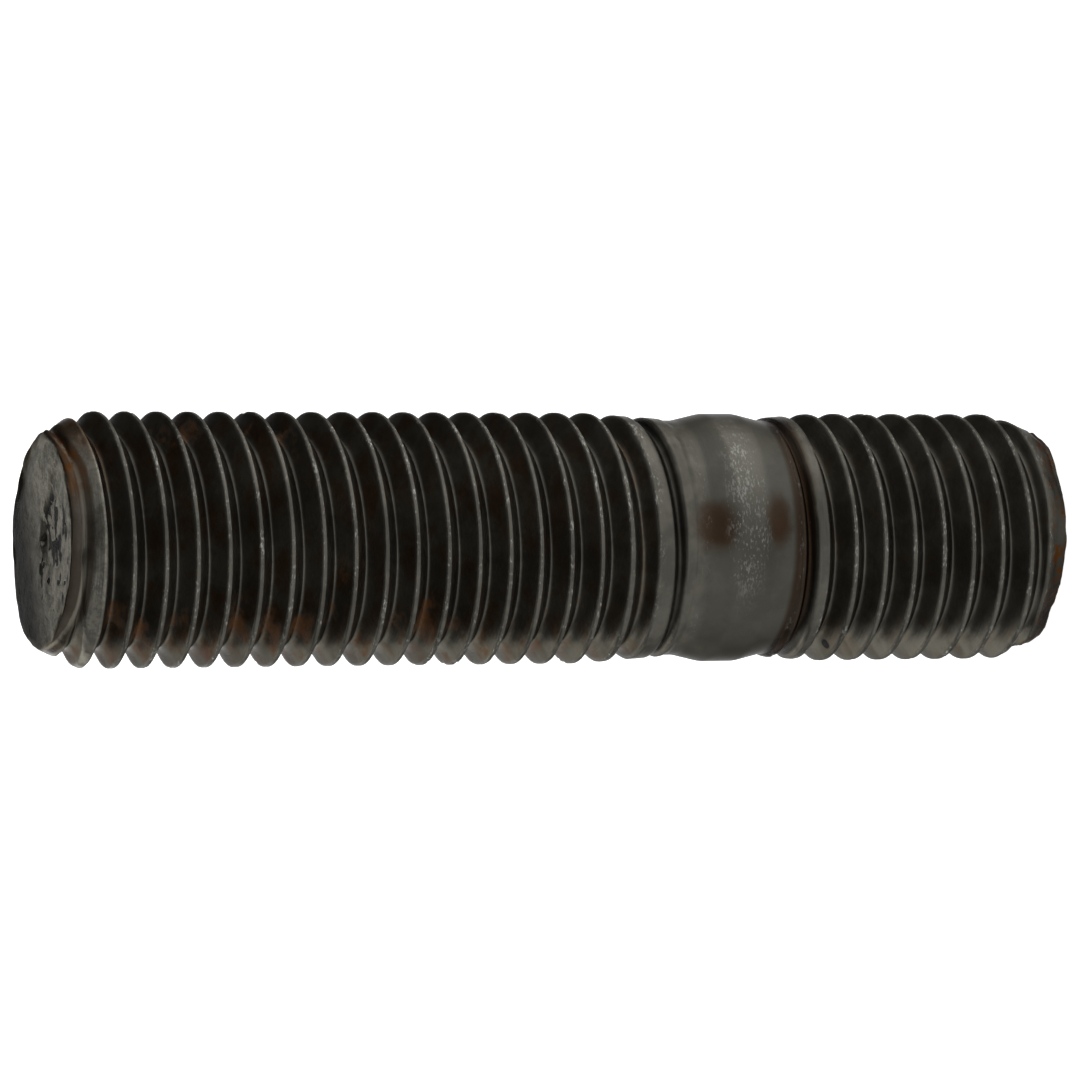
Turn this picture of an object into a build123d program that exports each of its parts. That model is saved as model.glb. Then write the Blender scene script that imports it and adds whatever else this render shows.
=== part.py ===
from build123d import *
import math
import os

# Double ended stud: one rolled steel bar with a right-hand thread at each end and a plain
# barrel between them. Millimetres, +Z along the axis, origin at the centre of the lower end
# face. The lower, shorter thread goes into a tapped hole, and the upper one takes a nut.

# --- Driving dimensions ---------------------------------------------------------------------
OVERALL_LENGTH = 66.0
CREST_DIAMETER = 15.87  # a 16 mm coarse thread, at the usual undersize
NECK_DIAMETER = 14.9  # of the bar before it was rolled, bare beside each thread
BARREL_DIAMETER = 15.76

# Thread form, the same at both ends.
PITCH = 2.0
ROOT_DIAMETER = 13.42
ROOT_FLAT = 0.38
FLANK_ANGLE = 30.0  # of one flank, from the plane across the axis
STROKES = 26  # straight strokes that each turn of a groove is cut in

# Where each thread lies: the height of one of its crests on the +X side, the full turns of
# its groove, counted from just outside the bar's end, and the further turns in which the
# groove's root rises to RUN_OUT_DIAMETER.
TAPPED_CREST_HEIGHT = 15.61
TAPPED_FULL_TURNS = 9
TAPPED_RUN_OUT_TURNS = 1
NUT_CREST_HEIGHT = 62.54
NUT_FULL_TURNS = 20
NUT_RUN_OUT_TURNS = 2
RUN_OUT_DIAMETER = 14.96

# Heights above the lower end face. Both thread lands taper where their grooves run out.
TAPPED_TAPER_BOTTOM = 14.9
TAPPED_SHOULDER_HEIGHT = 18.4
TAPPED_SHOULDER_DIAMETER = 15.3
LOWER_NECK_BOTTOM = 18.7
LOWER_NECK_TOP = 18.9
BARREL_BOTTOM = 20.7
BARREL_TOP = 22.75
UPPER_NECK_BOTTOM = 24.6
NUT_TAPER_BOTTOM = 25.5
NUT_TAPER_TOP = 30.9

# The points: cones that lead each thread in, down to a flat end face.
POINT_ANGLE = 25.0  # from the axis
TAPPED_POINT_DIAMETER = 13.2
NUT_POINT_DIAMETER = 13.4

CUTTER_DIAMETER = CREST_DIAMETER + 0.33  # clear of the crests, and neighbouring turns don't meet
OUTSIDE = 0.6 * CREST_DIAMETER  # a radius well clear of the bar


def radial_plane(angle, height):
    """A plane through the axis: its x runs outwards at that angle, and its y runs up."""
    turned = math.radians(angle)
    outwards = (math.cos(turned), math.sin(turned), 0)
    across = (math.sin(turned), -math.cos(turned), 0)
    return Plane(origin=(0, 0, height), x_dir=outwards, z_dir=across)


def groove(first_height, way, full_turns, run_out_turns):
    """The space between the flanks of one thread, from outside the bar's end to its run-out.

    It starts on the +X side at first_height and climbs where way is 1, or descends where it
    is -1. A right-hand thread turns anticlockwise as it climbs.
    """
    full_strokes = round(full_turns * STROKES)
    run_out_strokes = round(run_out_turns * STROKES)
    with BuildPart() as cutter:
        for stroke in range(full_strokes + run_out_strokes + 1):
            run_out = max(0, stroke - full_strokes) / run_out_strokes
            lift = run_out * (RUN_OUT_DIAMETER - ROOT_DIAMETER) / 2
            bottom = ROOT_DIAMETER / 2 + lift
            top = CUTTER_DIAMETER / 2 + lift
            half_bottom = ROOT_FLAT / 2
            half_top = half_bottom + (top - bottom) * math.tan(math.radians(FLANK_ANGLE))
            turns = way * stroke / STROKES
            with BuildSketch(radial_plane(360 * turns, first_height + PITCH * turns)):
                with BuildLine():
                    Polyline(
                        (bottom, -half_bottom),
                        (bottom, half_bottom),
                        (top, half_top),
                        (top, -half_top),
                        close=True,
                    )
                make_face()
        loft(ruled=True)
    return cutter.part


def land(*rings):
    """A thread's blank, ruled between rings given as (height, diameter), one side a stroke."""
    with BuildPart() as blank:
        for height, diameter in rings:
            with BuildSketch(Plane.XY.offset(height)):
                RegularPolygon(diameter / 2, STROKES)
        loft(ruled=True)
    return blank.part


def point(end_height, way, diameter):
    """Turns the bar's end down to a cone. The bar lies on the side that way points to."""
    reach = (OUTSIDE - diameter / 2) / math.tan(math.radians(POINT_ANGLE))
    with BuildPart() as turned_away:
        with BuildSketch(Plane.XZ):
            with BuildLine():
                Polyline(
                    (diameter / 2, end_height),
                    (diameter / 2, end_height - way),
                    (OUTSIDE, end_height - way),
                    (OUTSIDE, end_height + way * reach),
                    close=True,
                )
            make_face()
        revolve(axis=Axis.Z)
    return turned_away.part


with BuildPart() as barrel:
    with BuildSketch(Plane.XZ):
        with BuildLine():
            Polyline(
                (0, LOWER_NECK_BOTTOM),
                (NECK_DIAMETER / 2, LOWER_NECK_BOTTOM),
                (NECK_DIAMETER / 2, LOWER_NECK_TOP),
                (BARREL_DIAMETER / 2, BARREL_BOTTOM),
                (BARREL_DIAMETER / 2, BARREL_TOP),
                (NECK_DIAMETER / 2, UPPER_NECK_BOTTOM),
                (NECK_DIAMETER / 2, NUT_TAPER_BOTTOM),
                (0, NUT_TAPER_BOTTOM),
                close=True,
            )
        make_face()
    revolve(axis=Axis.Z)

tapped_blank = land(
    (0, CREST_DIAMETER),
    (TAPPED_TAPER_BOTTOM, CREST_DIAMETER),
    (TAPPED_SHOULDER_HEIGHT, TAPPED_SHOULDER_DIAMETER),
    (LOWER_NECK_BOTTOM, NECK_DIAMETER),
)
nut_blank = land(
    (NUT_TAPER_BOTTOM, NECK_DIAMETER),
    (NUT_TAPER_TOP, CREST_DIAMETER),
    (OVERALL_LENGTH, CREST_DIAMETER),
)

# Each groove starts between two crests, a little way outside the bar's end.
tapped_start = TAPPED_CREST_HEIGHT - (TAPPED_FULL_TURNS - 0.5) * PITCH
nut_start = NUT_CREST_HEIGHT + 3.5 * PITCH
tapped_groove = groove(tapped_start, 1, TAPPED_FULL_TURNS, TAPPED_RUN_OUT_TURNS)
nut_groove = groove(nut_start, -1, NUT_FULL_TURNS, NUT_RUN_OUT_TURNS)

with BuildPart() as stud:
    add([barrel.part, tapped_blank, nut_blank])
    add([tapped_groove, nut_groove], mode=Mode.SUBTRACT)
    add(point(0, 1, TAPPED_POINT_DIAMETER), mode=Mode.SUBTRACT)
    add(point(OVERALL_LENGTH, -1, NUT_POINT_DIAMETER), mode=Mode.SUBTRACT)

stud.part.label = "stud"
os.makedirs("parts", exist_ok=True)
export_step(stud.part, "parts/stud.step")
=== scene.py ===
import math

import bpy
from mathutils import Matrix, Vector


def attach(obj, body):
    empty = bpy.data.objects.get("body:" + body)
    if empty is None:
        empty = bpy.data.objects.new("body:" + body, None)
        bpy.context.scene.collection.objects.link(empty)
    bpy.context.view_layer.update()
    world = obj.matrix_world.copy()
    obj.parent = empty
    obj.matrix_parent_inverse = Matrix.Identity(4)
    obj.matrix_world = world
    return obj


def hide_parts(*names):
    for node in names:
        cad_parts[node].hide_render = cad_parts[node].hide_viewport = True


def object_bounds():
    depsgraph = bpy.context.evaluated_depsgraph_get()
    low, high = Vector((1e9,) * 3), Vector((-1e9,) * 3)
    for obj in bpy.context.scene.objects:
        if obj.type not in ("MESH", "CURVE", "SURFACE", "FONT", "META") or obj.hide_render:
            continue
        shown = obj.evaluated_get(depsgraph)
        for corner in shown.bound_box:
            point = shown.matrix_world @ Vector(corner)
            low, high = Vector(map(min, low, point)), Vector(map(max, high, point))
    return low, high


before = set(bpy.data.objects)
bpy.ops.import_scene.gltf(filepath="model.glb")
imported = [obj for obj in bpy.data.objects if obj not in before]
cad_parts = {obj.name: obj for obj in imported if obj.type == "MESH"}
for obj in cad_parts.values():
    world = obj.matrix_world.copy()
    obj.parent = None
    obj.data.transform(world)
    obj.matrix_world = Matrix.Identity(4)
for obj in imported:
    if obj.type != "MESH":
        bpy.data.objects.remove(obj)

bl_info = {
    "name": "Double Ended Stud",
    "version": (1, 0, 0),
    "blender": (4, 5, 0),
    "location": "3D View > Sidebar > Stud",
    "description": "Models a rolled double ended stud and lights it in a plain studio",
    "category": "Object",
}

CAD_LOW, CAD_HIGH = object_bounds()
LENGTH = CAD_HIGH.z - CAD_LOW.z
CREST_RADIUS = CAD_HIGH.x
MM = 0.001  # lengths are in metres


# --- Sizes and colours that a user may change ------------------------------------------------


class StudSizes(bpy.types.PropertyGroup):
    """The stud's sizes, from the ends of its two threads to the barrel between them."""

    pitch: bpy.props.FloatProperty(
        name="Pitch",
        description="Distance from one thread to the next",
        default=2 * MM,
        unit="LENGTH",
    )
    root_diameter: bpy.props.FloatProperty(
        name="Root Diameter",
        description="Across the bottom of the thread",
        default=13.36 * MM,
        unit="LENGTH",
    )
    root_flat: bpy.props.FloatProperty(
        name="Root Flat",
        description="Width of the thread's bottom",
        default=0.32 * MM,
        unit="LENGTH",
    )
    flank_angle: bpy.props.FloatProperty(
        name="Flank Angle",
        description="Lean of one flank",
        default=math.radians(30),
        subtype="ANGLE",
    )
    neck_diameter: bpy.props.FloatProperty(
        name="Neck Diameter",
        description="Of the bare bar beside each thread",
        default=14.9 * MM,
        unit="LENGTH",
    )
    barrel_diameter: bpy.props.FloatProperty(
        name="Barrel Diameter",
        description="Of the plain middle",
        default=15.76 * MM,
        unit="LENGTH",
    )
    nut_point_diameter: bpy.props.FloatProperty(
        name="Nut Point Diameter",
        description="Across the flat of the upper end",
        default=13.4 * MM,
        unit="LENGTH",
    )
    tapped_point_diameter: bpy.props.FloatProperty(
        name="Tapped Point Diameter",
        description="Across the flat of the lower end",
        default=13.2 * MM,
        unit="LENGTH",
    )
    point_angle: bpy.props.FloatProperty(
        name="Point Angle",
        description="Lean of the cone at each end",
        default=math.radians(25),
        subtype="ANGLE",
    )
    seed: bpy.props.FloatProperty(
        name="Seed",
        description="Moves the nicks and dents to other places",
        default=3.0,
    )


class StudFinish(bpy.types.PropertyGroup):
    """The stud's colours."""

    oxide: bpy.props.FloatVectorProperty(
        name="Oxide",
        description="Black oxide of the flanks",
        default=(0.052, 0.0495, 0.0415),
        size=3,
        subtype="COLOR",
    )
    bare: bpy.props.FloatVectorProperty(
        name="Bare Steel",
        description="Steel where the oxide is rubbed off",
        default=(0.19, 0.19, 0.175),
        size=3,
        subtype="COLOR",
    )
    rust: bpy.props.FloatVectorProperty(
        name="Rust",
        description="Oily rust in the grooves",
        default=(0.074, 0.026, 0.002),
        size=3,
        subtype="COLOR",
    )


class StudioSettings(bpy.types.PropertyGroup):
    """The plain studio round the stud."""

    floor: bpy.props.FloatVectorProperty(
        name="Floor",
        description="Colour of the floor",
        default=(0.86, 0.86, 0.86),
        size=3,
        subtype="COLOR",
    )
    light: bpy.props.FloatProperty(
        name="Light",
        description="Brightness of all the lights together",
        default=1.0,
        min=0.0,
    )


# --- Node trees as formulas ------------------------------------------------------------------

NODE_WIDTH, NODE_HEIGHT = 220, 260  # of the space given to each node in the editor
NODES_PER_LINE = 14


class Wiring:
    """Adds nodes to one tree, laid out in reading order, and joins them up."""

    def __init__(self, tree, effects=None):
        self.tree = tree
        self.effects = effects

    def node(self, kind, sockets=None, **settings):
        line, column = divmod(len(self.tree.nodes), NODES_PER_LINE)
        made = self.tree.nodes.new(kind)
        made.location = (NODE_WIDTH * column, -NODE_HEIGHT * line)
        for name, value in settings.items():
            setattr(made, name, value)
        for name, value in (sockets or {}).items():
            self.feed(made.inputs[name], value)
        return made

    def feed(self, socket, value):
        if isinstance(value, Term):
            value = value.socket
        if isinstance(value, bpy.types.NodeSocket):
            self.tree.links.new(value, socket)
        else:
            socket.default_value = value

    def term(self, socket):
        return Term(self, socket)

    def math(self, operation, *values):
        sockets = dict(enumerate(values))
        return self.term(self.node("ShaderNodeMath", sockets, operation=operation).outputs[0])

    def vector(self, x, y, z):
        return self.node("ShaderNodeCombineXYZ", {"X": x, "Y": y, "Z": z}).outputs[0]

    def split(self, vector):
        axes = self.node("ShaderNodeSeparateXYZ", {"Vector": vector}).outputs
        return [self.term(axis) for axis in axes]

    def vector_math(self, operation, *values):
        """The outputs of one operation on vectors: "Vector", and "Value" where it is a number."""
        sockets = dict(enumerate(values))
        return self.node("ShaderNodeVectorMath", sockets, operation=operation).outputs

    def place(self):
        """Where a point lies on the piece itself."""
        return self.node("ShaderNodeTexCoord").outputs["Object"]

    def noise(self, place, scale, detail, roughness=0.5):
        sockets = {"Vector": place, "Scale": scale, "Detail": detail, "Roughness": roughness}
        return self.term(self.node("ShaderNodeTexNoise", sockets).outputs[0])

    def blend(self, amount, low, high):
        """A colour between two others. A mix node keeps its two colours at sockets 6 and 7."""
        sockets = {"Factor": amount, 6: low, 7: high}
        return self.node("ShaderNodeMix", sockets, data_type="RGBA").outputs[2]

    def attribute(self, name):
        return self.term(self.node("ShaderNodeAttribute", attribute_name=name).outputs["Fac"])

    def effect(self, name, **sockets):
        """One of the shared effects, with an underscore for each space in its sockets' names."""
        sockets = {label.replace("_", " "): value for label, value in sockets.items()}
        made = self.node("ShaderNodeGroup", node_tree=self.effects[name])
        for label, value in sockets.items():
            self.feed(made.inputs[label], value)
        return self.term(made.outputs[0])

    def shape(self, kind, mesh, **sockets):
        """One more step that a mesh goes through."""
        return self.node(kind, {"Geometry": mesh, **sockets}).outputs[0]


class Term:
    """A number that varies over the surface. Arithmetic on it adds math nodes to its tree."""

    def __init__(self, wiring, socket):
        self.wiring = wiring
        self.socket = socket

    def __add__(self, other):
        return self.wiring.math("ADD", self, other)

    def __sub__(self, other):
        return self.wiring.math("SUBTRACT", self, other)

    def __rsub__(self, other):
        return self.wiring.math("SUBTRACT", other, self)

    def __mul__(self, other):
        return self.wiring.math("MULTIPLY", self, other)

    def __truediv__(self, other):
        return self.wiring.math("DIVIDE", self, other)

    __radd__ = __add__

    def at_least(self, other, rounding=0.0):
        if rounding:
            return self.wiring.math("SMOOTH_MAX", self, other, rounding)
        return self.wiring.math("MAXIMUM", self, other)

    def at_most(self, other, rounding=0.0):
        if rounding:
            return self.wiring.math("SMOOTH_MIN", self, other, rounding)
        return self.wiring.math("MINIMUM", self, other)

    def ramp(self, start, end):
        """0 up to start, 1 from end on, and smooth between. End may be below start."""
        sockets = {"Value": self, "From Min": start, "From Max": end}
        made = self.wiring.node("ShaderNodeMapRange", sockets, interpolation_type="SMOOTHSTEP")
        return self.wiring.term(made.outputs[0])

    def dimmed(self, mask, share):
        """Less by that share of itself where the mask is 1."""
        return self * (1.0 - mask * share)


def new_tree(name, kind, inputs, output, output_kind="NodeSocketFloat"):
    """An empty node group with one output. Inputs are {name: number}, or None for a material."""
    tree = bpy.data.node_groups.new(name, kind)
    for label, default in inputs.items():
        socket_kind = "NodeSocketMaterial" if default is None else "NodeSocketFloat"
        socket = tree.interface.new_socket(label, in_out="INPUT", socket_type=socket_kind)
        if default is not None:
            socket.default_value = default
    tree.interface.new_socket(output, in_out="OUTPUT", socket_type=output_kind)
    wiring = Wiring(tree)
    entry = wiring.node("NodeGroupInput").outputs
    return wiring, {label: wiring.term(entry[label]) for label in inputs}


# --- The stud's form -------------------------------------------------------------------------

# The spiral grid. Two turns at each end are spare, and become the flat faces.
TURNS = 37
SPARE_TURNS = 2.0
ROWS_PER_TURN = 20
COLUMNS = 132
CROWDING = 0.6  # draws the rows towards the crests and the roots
FACE_DEPTH = 2 * MM  # of grid that a flat end face takes up
FACE_CLOSED = 0.95  # the share of that depth at which the face has closed in to the axis
SAME_PLACE = 0.002 * MM  # closer corners are merged

# Where a crest passes the +X side, as a share of a pitch above a whole pitch.
NUT_PHASE = 0.27
TAPPED_PHASE = -0.195
NUT_LAG = 0.2  # of a pitch, at the inner end of the nut end's thread

# In turns above the lower end face: where a change begins, and where it is complete.
PHASE_CHANGE = (9.6, 12.0)
LAG_CHANGE = (14.8, 12.8)

# Heights above the lower end face.
TAPPED_TAPER_BOTTOM = 14.9 * MM
TAPPED_RUN_OUT_BOTTOM = 16.5 * MM
TAPPED_THREAD_TOP = 18.6 * MM
TAPPED_SHOULDER_TOP = 18.65 * MM
BARREL_FOOT = 18.9 * MM
BARREL_HEAD = 24.6 * MM
NUT_THREAD_BOTTOM = 24.9 * MM
NUT_SHOULDER_BOTTOM = 25.5 * MM
NUT_RUN_OUT_TOP = 29.5 * MM
NUT_TAPER_TOP = 30.9 * MM

# Slopes, as a change of radius along the axis.
BARREL_RISE, BARREL_FALL = 0.24, 0.235
TAPPED_TAPER, NUT_TAPER = 0.084, 0.072
TAPPED_RUN_OUT, NUT_RUN_OUT = 0.36, 0.19
SHOULDER_SLOPE = 0.6
TAPPED_UNDERSIZE = 0.03 * MM  # of the tapped end's crest radius

# Roundings where two surfaces meet.
CREST_ROUNDING = 0.03 * MM
CONE_ROUNDING = 0.04 * MM
LAND_ROUNDING = 0.05 * MM
BARREL_ROUNDING = 0.06 * MM
BARREL_FOOT_ROUNDING = 0.08 * MM
SHOULDER_ROUNDING = 0.1 * MM
RUN_OUT_ROUNDING = 0.1 * MM
ROOT_ROUNDING = 0.34 * MM
NUT_RIM_ROUNDING = 0.12 * MM
TAPPED_RIM_ROUNDING = 0.3 * MM

# The upper cone starts lower by this much on the -Y side, and by none of it past this sine.
ASKEW_SETBACK = 1.1 * MM
ASKEW_LIMIT = -0.1


def stud_tree(sizes):
    """The rolled stud as one spiral grid: each row follows the thread's helix from end to end."""
    inputs = {
        "Length": LENGTH,
        "Crest Radius": CREST_RADIUS,
        "Pitch": sizes.pitch,
        "Root Radius": sizes.root_diameter / 2,
        "Root Flat": sizes.root_flat,
        "Neck Radius": sizes.neck_diameter / 2,
        "Barrel Radius": sizes.barrel_diameter / 2,
        "Nut Point Radius": sizes.nut_point_diameter / 2,
        "Tapped Point Radius": sizes.tapped_point_diameter / 2,
        "Flank Slope": 1 / math.tan(sizes.flank_angle),
        "Point Slope": math.tan(sizes.point_angle),
        "Seed": sizes.seed,
        "Steel": None,
    }
    wiring, given = new_tree(
        "stud_form", "GeometryNodeTree", inputs, "Geometry", "NodeSocketGeometry"
    )
    counts = {"Vertices X": COLUMNS + 1, "Vertices Y": TURNS * ROWS_PER_TURN + 1}
    mesh = wiring.node("GeometryNodeMeshGrid", {"Size X": 1.0, "Size Y": 1.0, **counts}).outputs[0]
    across, along, _ = wiring.split(wiring.node("GeometryNodeInputPosition").outputs[0])
    turn = across + 0.5
    row = (along + 0.5) * TURNS - SPARE_TURNS
    angle = turn * math.tau

    # Rows crowd at crests and roots. Across the barrel they shift from one thread's phase to the
    # other's. The last turn of the nut end's thread lags a little, as the dies let go of the bar.
    twice_round = 4 * math.pi
    crowded = row - wiring.math("SINE", row * twice_round) * (CROWDING / twice_round)
    climb = row + turn
    past_barrel = climb.ramp(*PHASE_CHANGE)
    shift = past_barrel * (NUT_PHASE - TAPPED_PHASE) + TAPPED_PHASE
    shift = shift - climb.ramp(*LAG_CHANGE) * past_barrel * NUT_LAG
    height = (crowded + turn + shift) * given["Pitch"]
    to_crest = wiring.math("ABSOLUTE", crowded - wiring.math("ROUND", crowded))
    to_root = (0.5 - to_crest) * given["Pitch"]

    blank = blank_radius(given, height)
    radius = blank.at_most(groove_radius(given, height, to_root), CREST_ROUNDING)
    meridian, level, face = pointed_ends(wiring, given, height, angle)
    radius = radius.at_most(meridian, CONE_ROUNDING)

    nut_thread = (height - NUT_THREAD_BOTTOM).ramp(-0.5 * MM, 0.5 * MM)
    tapped_thread = (TAPPED_THREAD_TOP - height).ramp(-0.2 * MM, 0.2 * MM)
    threaded = nut_thread.at_least(tapped_thread)
    full_depth = given["Crest Radius"] - given["Root Radius"]
    depth = (blank.at_most(meridian) - radius) / full_depth
    place = around(wiring, angle, radius, level)
    near_crest = threaded * depth.ramp(0.2, 0.0)
    radius, level = worn(wiring, given["Seed"], place, radius, level, near_crest, face)
    place = around(wiring, angle, radius, level)

    # The finishes read these, so they are stored while the grid is still flat.
    for name, value in {"groove_depth": depth, "end_face": face, "threaded": threaded}.items():
        mesh = wiring.shape("GeometryNodeStoreNamedAttribute", mesh, Name=name, Value=value)
    mesh = wiring.shape("GeometryNodeSetPosition", mesh, Position=place)
    mesh = wiring.shape("GeometryNodeMergeByDistance", mesh, Distance=SAME_PLACE)
    mesh = wiring.shape("GeometryNodeSetShadeSmooth", mesh)
    mesh = wiring.shape("GeometryNodeRealizeInstances", mesh)
    mesh = wiring.shape("GeometryNodeSetMaterial", mesh, Material=given["Steel"])
    wiring.node("NodeGroupOutput", {"Geometry": mesh})
    return wiring.tree


def around(wiring, angle, radius, level):
    """The place at an angle round the axis, a radius from it and a level along it."""
    x = wiring.math("COSINE", angle) * radius
    y = wiring.math("SINE", angle) * radius
    return wiring.vector(x, y, level)


def blank_radius(given, height):
    """The bar before its grooves: barrel, necks, and a land for each thread that tapers inwards."""
    crest, neck = given["Crest Radius"], given["Neck Radius"]
    rise = (height - BARREL_FOOT) * BARREL_RISE
    fall = (BARREL_HEAD - height) * BARREL_FALL
    barrel = neck + rise.at_most(fall).at_least(0.0, BARREL_FOOT_ROUNDING)
    barrel = barrel.at_most(given["Barrel Radius"], BARREL_ROUNDING)

    tapped_land = crest - (height - TAPPED_TAPER_BOTTOM) * TAPPED_TAPER
    tapped_land = tapped_land.at_most(crest - TAPPED_UNDERSIZE, LAND_ROUNDING)
    shoulder = neck + (TAPPED_SHOULDER_TOP - height) * SHOULDER_SLOPE
    tapped_land = tapped_land.at_most(shoulder, SHOULDER_ROUNDING)

    nut_land = crest - (NUT_TAPER_TOP - height) * NUT_TAPER
    nut_land = nut_land.at_most(crest, LAND_ROUNDING)
    shoulder = neck + (height - NUT_SHOULDER_BOTTOM) * SHOULDER_SLOPE
    nut_land = nut_land.at_most(shoulder, SHOULDER_ROUNDING)
    return barrel.at_least(tapped_land, LAND_ROUNDING).at_least(nut_land, LAND_ROUNDING)


def groove_radius(given, height, to_root):
    """The surface that the dies rolled: its bottom rises out of the bar at each run-out."""
    nut_lift = (NUT_RUN_OUT_TOP - height) * NUT_RUN_OUT
    tapped_lift = (height - TAPPED_RUN_OUT_BOTTOM) * TAPPED_RUN_OUT
    lift = nut_lift.at_most(tapped_lift).at_least(0.0, RUN_OUT_ROUNDING)
    side = (to_root - given["Root Flat"] * 0.5).at_least(0.0, ROOT_ROUNDING)
    return given["Root Radius"] + lift + side * given["Flank Slope"]


def pointed_ends(wiring, given, height, angle):
    """The cone and the flat face at each end: a radius, a height, and 1 on the faces."""
    length, slope = given["Length"], given["Point Slope"]
    setback = wiring.math("SINE", angle).ramp(ASKEW_LIMIT, -1.0) * ASKEW_SETBACK
    above, below = height - length, 0.0 - height
    nut = end_outline(given["Nut Point Radius"], above, setback, slope, NUT_RIM_ROUNDING)
    tapped = end_outline(given["Tapped Point Radius"], below, 0.0, slope, TAPPED_RIM_ROUNDING)
    meridian = nut.at_most(tapped).at_least(0.0)
    level = height.at_most(length, NUT_RIM_ROUNDING).at_least(0.0, TAPPED_RIM_ROUNDING)
    face = above.at_least(below).ramp(-0.05 * MM, 0.05 * MM)
    return meridian, level, face


def end_outline(point_radius, beyond, setback, slope, rounding):
    """Radius of one end: the cone widens away from the face, and the face closes in to the axis."""
    before = (0.0 - beyond - setback).at_least(0.0, rounding)
    after = beyond.at_least(0.0, rounding)
    return point_radius + before * slope - after * (point_radius / (FACE_DEPTH * FACE_CLOSED))


# --- Wear ------------------------------------------------------------------------------------

# Worn places of a rim: a bearing in degrees from +X towards +Y, then the cosines of the angle
# off it at which the wear begins and is complete.
CHIP = (34, 0.72, 0.97)
BULGE = (137, 0.93, 1.0)
WORN_BACK = (-124, 0.82, 1.0)
WORN_LESS = (-68, 0.9, 1.0)
DIP = (-80, 0.2, 1.0)

UNEVEN_DEPTH = 0.03 * MM
NICK_DEPTH = 0.09 * MM
DENT_DEPTH = 0.12 * MM
CHIP_DEPTH, CHIP_DROP = 0.42 * MM, 0.15 * MM  # inwards, and down from the face
BULGE_HEIGHT = 0.35 * MM
DIP_DEPTH = 0.3 * MM
RAGGED_UPPER, RAGGED_LOWER = 0.5, 1.4  # millimetres across
RAGGED_DROP = 0.5  # of a rim's raggedness goes down from its face too

# Where a rim is: distances below its face, then radii.
RIM_DEPTHS = (2.2 * MM, 0.3 * MM)
RIM_RADII = (4.6 * MM, 6.2 * MM)
DIP_DEPTHS = (1.2 * MM, 0.1 * MM)

# Noises: the scale in lumps to a metre, the detail and the roughness.
UNEVEN_NOISE = (180.0, 3.0, 0.5)
NICK_NOISE = (900.0, 2.0, 0.5)
RAGGED_NOISE = (260.0, 4.0, 0.6)
DENT_NOISE = (350.0, 4.0, 0.5)


def worn(wiring, seed, place, radius, level, near_crest, face):
    """Handling marks: nicked crests, an uneven surface, ragged rims and dented end faces."""
    seeded = wiring.vector_math("ADD", place, wiring.vector(seed, seed * 0.37, 0.0))["Vector"]
    uneven = (wiring.noise(seeded, *UNEVEN_NOISE) - 0.5) * UNEVEN_DEPTH
    nicks = wiring.noise(seeded, *NICK_NOISE).ramp(0.60, 0.75) * near_crest * NICK_DEPTH

    # Ragged rims: the upper one has a chip and a bulge, and the lower one is worn at two places.
    middle = LENGTH / 2
    from_middle = wiring.math("ABSOLUTE", level - middle)
    near_end = from_middle.ramp(*(middle - depth for depth in RIM_DEPTHS))
    near_rim = radius.ramp(*RIM_RADII) * near_end
    upper = (level - middle).ramp(-1 * MM, 1 * MM)
    lower = 1.0 - upper
    reach = lower * (RAGGED_LOWER - RAGGED_UPPER) + RAGGED_UPPER
    ragged = (wiring.noise(seeded, *RAGGED_NOISE) - 0.5) * near_rim * reach * MM
    chip = facing(wiring, place, *CHIP) * near_rim * upper
    bulge = facing(wiring, place, *BULGE) * near_rim * upper
    worn_back = facing(wiring, place, *WORN_BACK) * 0.5 + facing(wiring, place, *WORN_LESS) * 0.25
    worn_back = worn_back * near_rim * lower
    radius = radius + uneven * (1.0 - face) - nicks + ragged
    radius = radius + bulge * BULGE_HEIGHT - chip * CHIP_DEPTH - worn_back * MM

    # The end faces are dented, and the upper one also sags towards -Y.
    outwards = upper * 2.0 - 1.0
    dents = wiring.noise(seeded, *DENT_NOISE).ramp(0.35, 0.7) * DENT_DEPTH
    drop = dents + chip * CHIP_DROP + wiring.math("ABSOLUTE", ragged) * RAGGED_DROP
    near_top = level.ramp(*(LENGTH - depth for depth in DIP_DEPTHS))
    dip = facing(wiring, place, *DIP) * near_top * DIP_DEPTH
    return radius.at_least(0.0), level - drop * face * outwards - dip


def facing(wiring, place, bearing, begins, complete):
    """1 where a place faces that bearing squarely enough and 0 where it doesn't, softly."""
    outward = wiring.vector_math("MULTIPLY", place, (1.0, 1.0, 0.0))["Vector"]
    outward = wiring.vector_math("NORMALIZE", outward)["Vector"]
    side = (math.cos(math.radians(bearing)), math.sin(math.radians(bearing)), 0.0)
    cosine = wiring.term(wiring.vector_math("DOT_PRODUCT", outward, side)["Value"])
    return cosine.ramp(begins, complete)


# --- Shared effects of the finish ------------------------------------------------------------


def patina_tree():
    """Oily rust that gathers low in the thread, in soft patches with a fine edge."""
    inputs = {"Depth": 0.0, "Scale": 320.0, "Coverage": 0.5}
    wiring, given = new_tree("oily_patina", "ShaderNodeTree", inputs, "Mask")
    place = wiring.place()
    patches = wiring.noise(place, given["Scale"], 3.0, 0.6)
    fine = wiring.noise(place, given["Scale"] * 11.0, 3.0, 0.6)
    threshold = 1.0 - given["Coverage"]
    wet = (patches * 0.75 + fine * 0.25).ramp(threshold, threshold + 0.16)
    wiring.node("NodeGroupOutput", {"Mask": wet * given["Depth"].ramp(0.1, 0.4)})
    return wiring.tree


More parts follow.
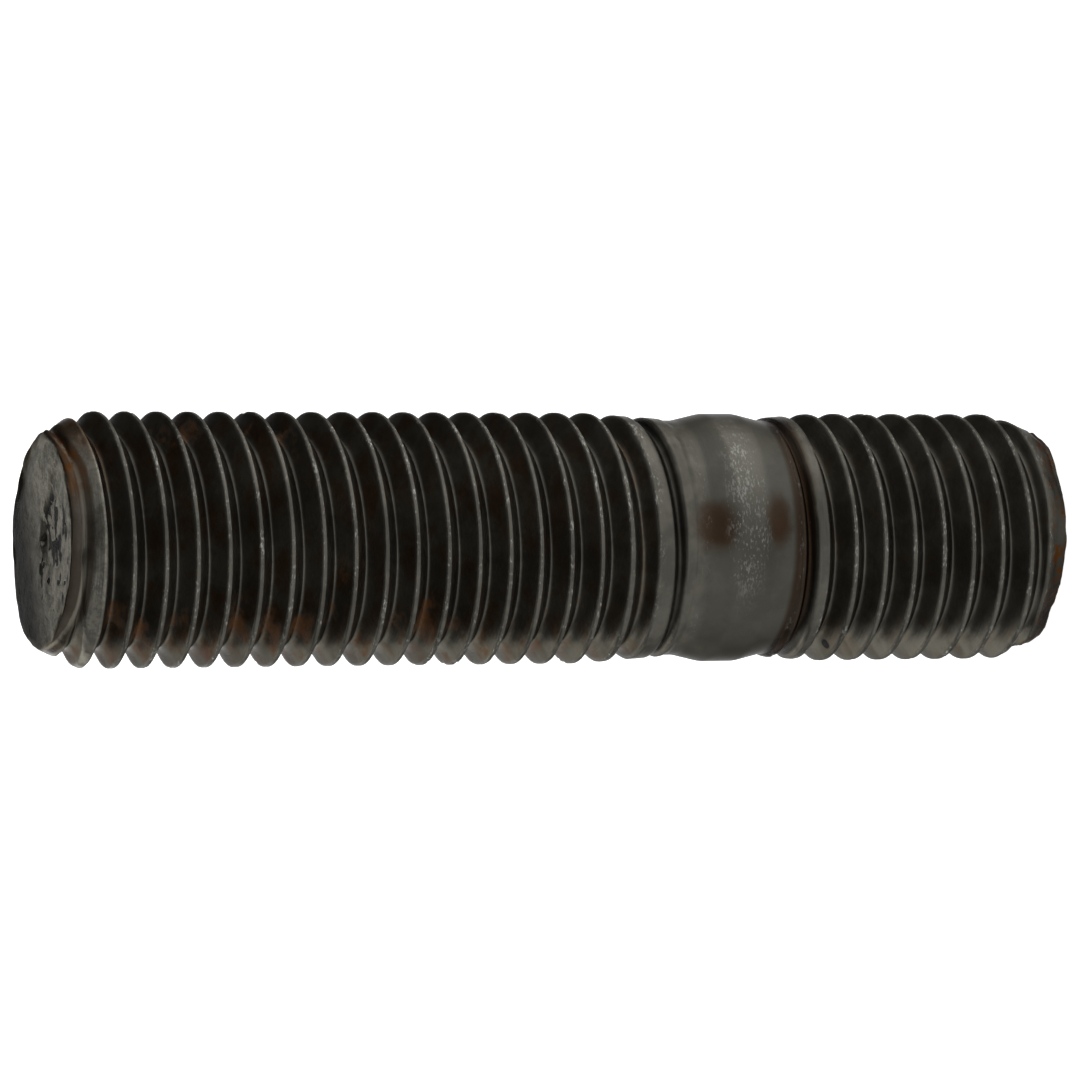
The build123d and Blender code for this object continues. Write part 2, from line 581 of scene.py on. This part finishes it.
def rubbed_tree():
    """Speckled bright metal where the high places have been rubbed."""
    inputs = {"Height": 0.0, "Scale": 8000.0, "Amount": 0.5}
    wiring, given = new_tree("rubbed_metal", "ShaderNodeTree", inputs, "Mask")
    place = wiring.place()
    drawn = wiring.vector_math("MULTIPLY", place, (0.4, 0.4, 1.0))["Vector"]
    speckle = wiring.noise(drawn, given["Scale"], 2.0, 0.7)
    patches = wiring.noise(place, given["Scale"] * 0.08, 2.0, 0.5)
    threshold = 1.0 - given["Amount"]
    rubbed = (speckle * 0.65 + patches * 0.35).ramp(threshold, threshold + 0.14)
    wiring.node("NodeGroupOutput", {"Mask": rubbed * given["Height"]})
    return wiring.tree


def grain_tree():
    """Fine lines along the thread or round the bar, and small pits, as a height for bump."""
    inputs = {"Depth": 0.0, "Lines": 12000.0, "Pits": 0.5}
    wiring, given = new_tree("rolled_grain", "ShaderNodeTree", inputs, "Height")
    place = wiring.place()
    x, y, z = wiring.split(place)
    depth, share = given["Depth"], given["Pits"]
    in_groove = depth.ramp(0.05, 0.1)
    round_bar = z * given["Lines"] * (1.0 - in_groove)
    stretched = wiring.vector(x * 130.0, y * 130.0, depth * 14.0 * in_groove + round_bar)
    lines = wiring.noise(stretched, 1.0, 3.0, 0.65)
    fine = wiring.noise(place, 6000.0, 3.0, 0.65)
    coarse = wiring.noise(place, 1500.0, 2.0, 0.6)
    pits = fine * 0.6 + coarse * 0.4
    wiring.node("NodeGroupOutput", {"Height": lines * (1.0 - share) + pits * share})
    return wiring.tree


def mark_tree():
    """One soft-edged mark on the side of the bar: 1 inside and 0 outside."""
    inputs = {
        "Bearing": -90.0,
        "Height": 30 * MM,
        "Half Width": 20.0,
        "Half Height": 2 * MM,
        "Softness": 0.5,
    }
    wiring, given = new_tree("side_mark", "ShaderNodeTree", inputs, "Mask")
    place = wiring.place()
    x, y, z = wiring.split(place)
    turned = wiring.math("ARCTAN2", y, x) * (180 / math.pi) - given["Bearing"]
    across = wiring.math("WRAP", turned, 180.0, -180.0) / given["Half Width"]
    along = (z - given["Height"]) / given["Half Height"]
    ragged = (wiring.noise(place, 900.0, 3.0, 0.6) - 0.5) * 0.7
    reach = wiring.math("SQRT", across * across + along * along) + ragged
    softness = given["Softness"]
    wiring.node("NodeGroupOutput", {"Mask": reach.ramp(1.0 + softness, 1.0 - softness)})
    return wiring.tree


# --- The steel -------------------------------------------------------------------------------

# Marks on the side: bearing, height, half width, half height and softness, in degrees and metres.
MARKS = {
    # Painted dark reflections, tinted brown, on the -Y side of the barrel.
    "upper dark reflection": (-84.5, 24.4 * MM, 11.0, 1.3 * MM, 0.5),
    "lower dark reflection": (-82.0, 20.2 * MM, 11.0, 0.8 * MM, 0.5),
    "pit": (-158.5, 15.2 * MM, 3.4, 0.18 * MM, 0.3),
    "abraded": (-70.0, 22.2 * MM, 46.0, 1.2 * MM, 0.4),
    # Painted shade across the -Y side of the barrel.
    "painted barrel shade": (-90.0, 22 * MM, 18.0, 3 * MM, 0.9),
    "polished": (-50.0, 22 * MM, 24.0, 3 * MM, 0.9),
    "lower damp": (-137.0, 52 * MM, 15.0, 17 * MM, 0.8),
    "upper damp": (-28.0, 57 * MM, 16.0, 8 * MM, 0.8),
}

# How much of its light each of these takes from the steel. For the neck and the barrel shade this
# is painted shade, and for the dark reflections a painted reflection.
SHADE = {
    "lower end": 0.4,
    "neck": 0.7,
    "stamped": 0.9,
    "dark reflection": 0.65,
    "pit": 0.9,
    "sunk": 0.6,
    "painted barrel shade": 0.28,
}

# Where zones begin, and where they are complete. These are heights above the lower end face.
LOWER_END = (1.6 * MM, 0.9 * MM)
TAPPED_RUN_OUT_ZONE = (16.6 * MM, 17.0 * MM)
NECK_ZONE, NECK_ZONE_END = (17.4 * MM, 17.9 * MM), (19.3 * MM, 18.8 * MM)
RUST_ZONE = (22 * MM, 40 * MM)
NUT_RUN_OUT_ZONE = (28.4 * MM, 27.6 * MM)
UPPER_END = (60 * MM, 61 * MM)
CONE_ZONE = (63.3 * MM, 63.6 * MM)

# These are heights past the edge where the upper cone starts.
RIM_ZONE = (-0.8 * MM, -0.5 * MM)
RIM_HIGHLIGHT, RIM_HIGHLIGHT_END = (-0.3 * MM, -0.1 * MM), (0.1 * MM, -0.05 * MM)
RIM_SHADE_ZONE = (0.2 * MM, 0.8 * MM)

# These are distances towards +X, where the upper end is stained.
RIM_STAIN = (1 * MM, 5 * MM)
CONE_STAIN = (4 * MM, 7 * MM)

# These are depths in the groove, as a share of its full depth.
HIGH, SUNK, ROOT = (0.09, 0.03), (0.10, 0.25), (0.86, 0.96)

# The pits of the upper face: their middle and their reach in X and Y.
PITS_X, PITS_Y = -0.9 * MM, -3.1 * MM
PITS_REACH_X, PITS_REACH_Y = 4.2 * MM, 2.9 * MM

# Noises: the scale in lumps to a metre, the detail and the roughness.
CLOUD_NOISE = (300.0, 4.0, 0.65)
PIT_NOISE = (900.0, 2.0, 0.55)
MOTTLE_NOISE = (1300.0, 5.0, 0.75)
SPECKLE_NOISE = (3500.0, 3.0, 0.7)


class Zones:
    """Where a point lies on the stud, with masks that are 1 in a zone and 0 outside it."""

    def __init__(self, wiring):
        self.place = wiring.place()
        self.x, self.y, self.height = wiring.split(self.place)
        self.depth = wiring.attribute("groove_depth")
        self.face = wiring.attribute("end_face")
        self.threaded = wiring.attribute("threaded")
        self.barrel = 1.0 - self.threaded
        off_face = 1.0 - self.face

        # The upper rim is brown and darkened by painted shade down to just below the edge where its
        # askew cone starts, with a painted highlight along that edge.
        from_axis = wiring.math("SQRT", self.x * self.x + self.y * self.y)
        setback = (self.y / from_axis).ramp(ASKEW_LIMIT, -1.0) * ASKEW_SETBACK
        past_edge = self.height - LENGTH + setback
        self.rim = past_edge.ramp(*RIM_ZONE) * off_face
        self.rim_highlight = past_edge.ramp(*RIM_HIGHLIGHT) * past_edge.ramp(*RIM_HIGHLIGHT_END) * off_face
        self.rim_shade = past_edge.ramp(*RIM_SHADE_ZONE) * 0.3 + 0.45
        self.cone = self.height.ramp(*CONE_ZONE) * off_face * (1.0 - self.rim)

        self.neck = self.height.ramp(*NECK_ZONE) * self.height.ramp(*NECK_ZONE_END)
        self.lower_end = self.height.ramp(*LOWER_END) * off_face
        nut_run_out = self.height.ramp(*NUT_RUN_OUT_ZONE)
        tapped_run_out = self.height.ramp(*TAPPED_RUN_OUT_ZONE)
        self.run_out = nut_run_out.at_most(tapped_run_out) * self.threaded
        self.sunk = self.run_out * self.depth.ramp(*SUNK)
        self.root = self.depth.ramp(*ROOT)
        self.high = self.depth.ramp(*HIGH) * off_face
        full_thread = self.threaded * (1.0 - self.run_out)
        self.crest = self.high * full_thread * (1.0 - self.rim) * (1.0 - self.lower_end)


def face_pits(wiring, on):
    """Irregular dark pits and short gouges, gathered on the -Y half of the upper face."""
    across, along = (on.x - PITS_X) / PITS_REACH_X, (on.y - PITS_Y) / PITS_REACH_Y
    gathered = (across * across + along * along).ramp(1.2, 0.7)
    spots = wiring.noise(on.place, *PIT_NOISE)
    bent = wiring.vector(on.x * 500.0 + spots, on.y * 1400.0 + spots * 3.0, 0.3)
    gouges = wiring.noise(bent, 1.0, 1.0)
    pits = (spots * 0.45 + gouges * 0.55).ramp(0.53, 0.545) * gathered
    return pits * on.face * on.height.ramp(*UPPER_END)


def steel_tone(wiring, on, marks, cloud, mottle, stamped):
    """Light and dark of the steel as a share of the oxide's colour, with painted shade, a painted
    highlight and painted reflections among them.
    """
    tone = cloud.ramp(0.4, 0.6) * (0.15 + on.threaded * 0.25) + 0.88
    tone = tone - on.barrel * 0.1 - on.root * 0.15
    tone = tone + on.cone * on.high * (mottle.ramp(0.42, 0.58) * 0.7 + 0.3)
    # Painted shade darkens the upper rim.
    tone = tone.dimmed(on.lower_end, SHADE["lower end"]).dimmed(on.rim, on.rim_shade)
    # Painted shade darkens the necks, and a painted highlight runs along the edge where the upper
    # cone starts.
    tone = tone.dimmed(on.neck, SHADE["neck"]) + on.rim_highlight * 1.4

    # The end faces are paler, and a painted shade darkens them towards -X and +Y.
    speckle = wiring.noise(on.place, *SPECKLE_NOISE)
    pale = mottle.ramp(0.40, 0.60) * 2.2 + speckle.ramp(0.4, 0.6) * 1.2 + 2.4
    painted_face_shading = (on.x * 0.6 - on.y * 1.2).ramp(-6 * MM, 3 * MM)
    tone = tone * (1.0 - on.face) + on.face * pale * (painted_face_shading * 0.9 + 0.1)

    # Painted dark reflections on the -Y side of the barrel.
    dark_reflections = marks["upper dark reflection"] + marks["lower dark reflection"]
    tone = tone.dimmed(stamped, SHADE["stamped"])
    tone = tone.dimmed(dark_reflections.at_most(1.0), SHADE["dark reflection"]).dimmed(marks["pit"], SHADE["pit"])
    tone = tone + marks["abraded"] * on.barrel * 0.25
    # Painted shade across the -Y side of the barrel.
    return tone.dimmed(on.sunk, SHADE["sunk"]).dimmed(marks["painted barrel shade"] * on.barrel, SHADE["painted barrel shade"])


def brown_stain(on, marks, mottle, tint):
    """How brown the oxide is: under the painted dark reflections on the barrel, at its necks and at
    both its ends.
    """
    dark_reflections = marks["upper dark reflection"] + marks["lower dark reflection"]
    brown = (dark_reflections * 0.25).at_least(tint * 0.5)
    brown = brown.at_least(on.neck * 0.15).at_least(on.rim * 0.1)
    stained = (on.rim * on.x.ramp(*RIM_STAIN)).at_least(on.cone * on.x.ramp(*CONE_STAIN))
    brown = brown.at_least(stained * (0.4 + mottle.ramp(0.45, 0.6) * 0.4))
    return brown.at_least(on.lower_end * mottle.ramp(0.45, 0.65))


def steel_material(finish, effects):
    """Black oxide steel under a film of oil, lighter where it is rubbed, brown where it rusts."""
    material = bpy.data.materials.new("oiled_steel")
    material.use_nodes = True
    material.node_tree.nodes.clear()
    wiring = Wiring(material.node_tree, effects)
    on = Zones(wiring)
    cloud = wiring.noise(on.place, *CLOUD_NOISE)
    mottle = wiring.noise(on.place, *MOTTLE_NOISE)
    stamped = face_pits(wiring, on)
    labels = ("Bearing", "Height", "Half_Width", "Half_Height", "Softness")
    marks = {
        name: wiring.effect("mark", **dict(zip(labels, values))) for name, values in MARKS.items()
    }

    # Rust gathers in the grooves, mostly near the nut end, and a brown tint on their flanks.
    in_groove = on.depth * (1.0 - on.run_out)
    on_flank = on.depth * (1.0 - on.root) * (1.0 - on.run_out) * 2.0
    spread = on.height.ramp(*RUST_ZONE) * 0.7 + 0.3
    damp = marks["lower damp"] + marks["upper damp"] * 0.8
    rust = wiring.effect("patina", Depth=in_groove * spread, Coverage=damp * 0.17 + 0.38)
    tint = wiring.effect("patina", Depth=on_flank, Coverage=0.55, Scale=500.0) * spread

    # Bright metal shows along the crests, on the abraded part of the barrel and as a fine dust.
    abraded, polished = marks["abraded"] * on.barrel, marks["polished"] * on.barrel
    rubbed = wiring.effect("rubbed", Height=on.crest * (1.0 - on.cone * 0.7), Amount=0.46)
    scuffed = wiring.effect("rubbed", Height=abraded, Amount=0.50)
    dust = wiring.effect("rubbed", Height=on.threaded * (1.0 - on.face), Amount=0.34, Scale=5000.0)
    bright = rubbed.at_least(scuffed * 0.5).at_least(dust * 0.3).at_least(polished * 0.05)

    tone = steel_tone(wiring, on, marks, cloud, mottle, stamped)
    sockets = {0: finish.oxide, "Scale": tone}
    oxide = wiring.node("ShaderNodeVectorMath", sockets, operation="SCALE").outputs[0]
    brown = [channel * 0.7 for channel in finish.rust] + [1.0]
    colour = wiring.blend(brown_stain(on, marks, mottle, tint), oxide, brown)
    colour = wiring.blend(bright, colour, [*finish.bare, 1.0])
    colour = wiring.blend(rust * 0.8, colour, [*finish.rust, 1.0])

    grain = wiring.effect("grain", Depth=on.depth, Pits=on.face * 0.6 + 0.35) - stamped * 2.0
    sockets = {
        "Strength": on.face * 0.5 + on.threaded * 0.3 + 0.2,
        "Distance": on.face * (0.04 * MM) + 0.04 * MM,
        "Height": grain,
    }
    bumped = wiring.node("ShaderNodeBump", sockets).outputs[0]
    sockets = {
        "Base Color": colour,
        "Roughness": cloud * 0.14 + 0.27 + rust * 0.25,
        "Metallic": 0.9 - rust * 0.4,
        "Normal": bumped,
    }
    shader = wiring.node("ShaderNodeBsdfPrincipled", sockets)
    shader.inputs["Specular IOR Level"].default_value = 0.3
    shader.inputs["Specular Tint"].default_value = (0.35, 0.35, 0.35, 1.0)
    wiring.node("ShaderNodeOutputMaterial", {"Surface": shader.outputs[0]})
    return material


# --- The studio ------------------------------------------------------------------------------

FLOOR_HALF_WIDTH = 4.0
FLOOR_DROP = 0.05 * MM  # below the stud, so that the two faces don't share a plane
FLOOR_GLOW = 0.85  # the floor shines by itself, and lights the stud from below
WORLD_GREY = 0.11

PANELS = {
    # name: (bearing from +X towards +Y, elevation, distance, width, height, radiance)
    "table_side": (127, 8, 0.35, 0.28, 0.39, 3.8),
    "far_side": (90, 21, 0.7, 0.26, 0.30, 1.6),
    "front_left": (-140, 18, 0.6, 1.2, 0.44, 1.05),
    "front_right": (-22, 18, 0.6, 0.9, 0.44, 1.05),
    "front_low": (-95, 7, 0.5, 1.0, 0.16, 1.0),
}
GLOW_PLACE = (0.12, -0.01, 0.06)
GLOW_SIZE = (0.10, 0.16)
GLOW_ENERGY = 0.25

# The camera looks down at the standing stud, and is rolled until the nut end points to the left.
CAMERA_ELEVATION = 18.946
CAMERA_DISTANCE = 392.67 * MM
CAMERA_AIM = Vector((-0.116, 0, 33.444)) * MM
CAMERA_UP = Vector((1, 0, -0.0045))
CAMERA_LENS, CAMERA_SENSOR = 207.48, 36.0
CAMERA_NEAR, CAMERA_FAR = 0.01, 20.0


def make_floor(context, settings):
    """A wide pale floor that the stud stands on."""
    mesh = bpy.data.meshes.new("floor")
    half = FLOOR_HALF_WIDTH
    corners = [(-half, -half, 0), (half, -half, 0), (half, half, 0), (-half, half, 0)]
    mesh.from_pydata(corners, [], [(0, 1, 2, 3)])
    floor = bpy.data.objects.new("floor", mesh)
    floor.location.z = -FLOOR_DROP
    material = bpy.data.materials.new("floor")
    material.use_nodes = True
    shader = material.node_tree.nodes["Principled BSDF"]
    shader.inputs["Base Color"].default_value = [*settings.floor, 1.0]
    shader.inputs["Roughness"].default_value = 0.8
    shader.inputs["Specular IOR Level"].default_value = 0.2
    shader.inputs["Emission Color"].default_value = [1.0, 1.0, 1.0, 1.0]
    shader.inputs["Emission Strength"].default_value = FLOOR_GLOW
    mesh.materials.append(material)
    context.scene.collection.objects.link(floor)


def make_lights(context, settings):
    """Large soft panels low round the stud, with nothing straight above it."""
    world = bpy.data.worlds.new("studio")
    world.use_nodes = True
    background = world.node_tree.nodes["Background"]
    background.inputs["Color"].default_value = (WORLD_GREY, WORLD_GREY, WORLD_GREY, 1.0)
    context.scene.world = world
    middle = Vector((0, 0, LENGTH / 2))
    for name, (bearing, elevation, distance, width, height, radiance) in PANELS.items():
        energy = radiance * math.pi * width * height * settings.light
        lamp = add_lamp(context, name, width, height, energy)
        away = direction(bearing, elevation)
        lamp.location = middle + away * distance
        lamp.rotation_mode = "QUATERNION"
        lamp.rotation_quaternion = (-away).to_track_quat("-Z", "Y")

    # One more lights the floor beside the stud, and is itself never seen.
    glow = add_lamp(context, "table_glow", *GLOW_SIZE, GLOW_ENERGY * settings.light)
    glow.visible_glossy = False
    glow.location = GLOW_PLACE


def add_lamp(context, name, width, height, energy):
    """A soft rectangular light that the camera doesn't see."""
    light = bpy.data.lights.new(name, "AREA")
    light.shape = "RECTANGLE"
    light.size, light.size_y = width, height
    light.energy = energy
    lamp = bpy.data.objects.new(name, light)
    lamp.visible_camera = False
    context.scene.collection.objects.link(lamp)
    return lamp


def direction(bearing, elevation):
    """The direction at a bearing from +X towards +Y and an elevation, both in degrees."""
    bearing, elevation = math.radians(bearing), math.radians(elevation)
    level = math.cos(elevation)
    return Vector((math.cos(bearing) * level, math.sin(bearing) * level, math.sin(elevation)))


def make_camera(context):
    """A long lens, rolled so that the standing stud lies across the view."""
    elevation = math.radians(CAMERA_ELEVATION)
    away = Vector((0, -math.cos(elevation), math.sin(elevation)))
    right = CAMERA_UP.cross(away).normalized()
    up = away.cross(right)
    turn = Matrix((right, up, away)).transposed().to_4x4()
    data = bpy.data.cameras.new("camera")
    data.sensor_width = CAMERA_SENSOR
    data.lens = CAMERA_LENS
    data.clip_start = CAMERA_NEAR
    data.clip_end = CAMERA_FAR
    camera = bpy.data.objects.new("camera", data)
    camera.matrix_world = Matrix.Translation(CAMERA_AIM + away * CAMERA_DISTANCE) @ turn
    context.scene.collection.objects.link(camera)
    context.scene.camera = camera
    context.scene.view_settings.view_transform = "Standard"


# --- Operators -------------------------------------------------------------------------------


class STUD_OT_make_bar(bpy.types.Operator):
    """Makes the whole stud: threads, necks, barrel and pointed ends in one piece"""

    bl_idname = "stud.make_bar"
    bl_label = "Make Stud"

    def execute(self, context):
        effects = {
            "patina": patina_tree(),
            "rubbed": rubbed_tree(),
            "grain": grain_tree(),
            "mark": mark_tree(),
        }
        steel = steel_material(context.scene.stud_finish, effects)
        tree = stud_tree(context.scene.stud_sizes)
        maker = bpy.data.objects.new("stud_maker", bpy.data.meshes.new("stud_maker"))
        context.scene.collection.objects.link(maker)
        modifier = maker.modifiers.new("Stud Form", "NODES")
        modifier.node_group = tree
        for item in tree.interface.items_tree:
            if item.in_out == "INPUT":
                modifier[item.identifier] = steel if item.name == "Steel" else item.default_value
        context.view_layer.update()
        evaluated = maker.evaluated_get(context.evaluated_depsgraph_get())
        mesh = bpy.data.meshes.new_from_object(evaluated)
        if not mesh.polygons:
            raise RuntimeError("the stud's node tree made no faces")
        maker.modifiers.remove(modifier)
        bpy.data.objects.remove(maker)
        mesh.name = "double_ended_stud"
        stud = bpy.data.objects.new("double_ended_stud", mesh)
        context.scene.collection.objects.link(stud)
        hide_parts("stud")
        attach(stud, "root")
        return {"FINISHED"}


class STUD_OT_make_studio(bpy.types.Operator):
    """Makes the floor, the soft lights and the camera"""

    bl_idname = "stud.make_studio"
    bl_label = "Make Studio"

    def execute(self, context):
        settings = context.scene.stud_studio
        make_floor(context, settings)
        make_lights(context, settings)
        make_camera(context)
        return {"FINISHED"}


# --- Panel and registration ------------------------------------------------------------------


class STUD_PT_sidebar(bpy.types.Panel):
    """Sizes, colours and the buttons that make the stud and its studio"""

    bl_idname = "STUD_PT_sidebar"
    bl_label = "Double Ended Stud"
    bl_space_type = "VIEW_3D"
    bl_region_type = "UI"
    bl_category = "Stud"

    def draw(self, context):
        scene = context.scene
        for group in (scene.stud_sizes, scene.stud_finish, scene.stud_studio):
            box = self.layout.box()
            for name in group.bl_rna.properties.keys():
                if name not in ("rna_type", "name"):
                    box.prop(group, name)
        self.layout.operator("stud.make_bar")
        self.layout.operator("stud.make_studio")


CLASSES = (
    StudSizes,
    StudFinish,
    StudioSettings,
    STUD_OT_make_bar,
    STUD_OT_make_studio,
    STUD_PT_sidebar,
)


def register():
    for item in CLASSES:
        bpy.utils.register_class(item)
    bpy.types.Scene.stud_sizes = bpy.props.PointerProperty(type=StudSizes)
    bpy.types.Scene.stud_finish = bpy.props.PointerProperty(type=StudFinish)
    bpy.types.Scene.stud_studio = bpy.props.PointerProperty(type=StudioSettings)


def unregister():
    del bpy.types.Scene.stud_studio
    del bpy.types.Scene.stud_finish
    del bpy.types.Scene.stud_sizes
    for item in reversed(CLASSES):
        bpy.utils.unregister_class(item)


def main():
    register()
    bpy.ops.stud.make_bar()
    bpy.ops.stud.make_studio()


if __name__ == "__main__":
    main()
